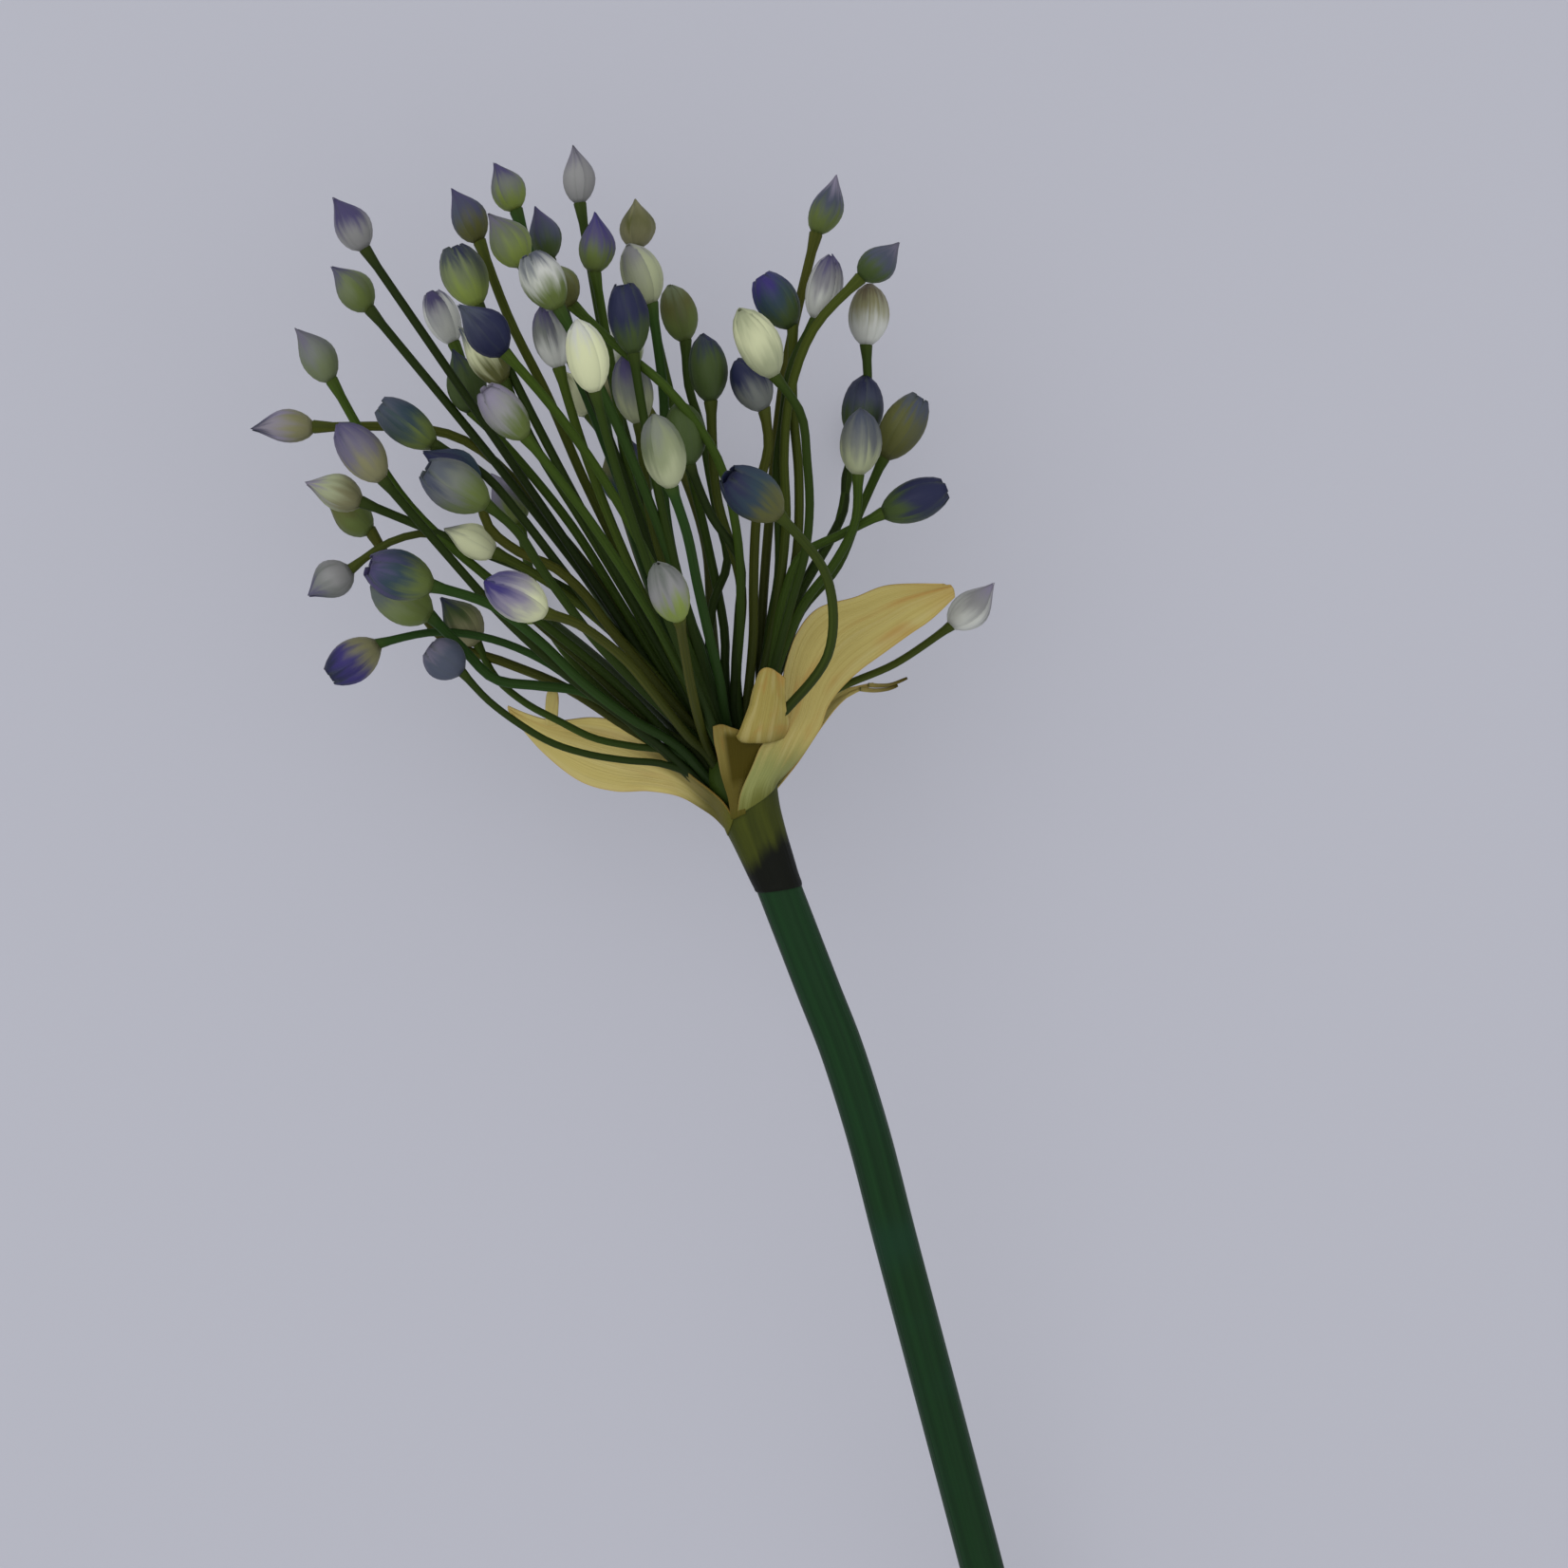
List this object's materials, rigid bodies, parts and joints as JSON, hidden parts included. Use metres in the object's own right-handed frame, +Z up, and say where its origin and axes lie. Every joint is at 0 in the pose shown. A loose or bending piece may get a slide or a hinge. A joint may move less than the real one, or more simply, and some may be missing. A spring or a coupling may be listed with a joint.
{
  "type": "cut allium flower",
  "caption": "Cut allium flower lying on its side: a bare curved stem, a swollen neck with papery bracts and a loose rounded head of buds on slender stalks",
  "frame": {"origin": "centre of the bounding box's bottom face, on the surface that the flower lies on", "axes": "+Z up from that surface, +Y along the flower's length from the cut end of the stem towards the head, +X across the flower"},
  "size_m": [0.1301, 0.2859, 0.0827],
  "materials": {
    "stem": "living plant stem, dark green, waxy",
    "neck": "living plant tissue, olive with a near-black foot",
    "umbel": "living plant tissue, green stalks and green, white and violet buds",
    "bract": "dry papery bract, straw yellow"
  },
  "bodies": {
    "root": {"stem": "stem", "neck": "neck", "umbel": "umbel", "bract_left": "bract", "bract_right": "bract", "bract_front": "bract", "bract_back": "bract"}
  },
  "joints": []
}
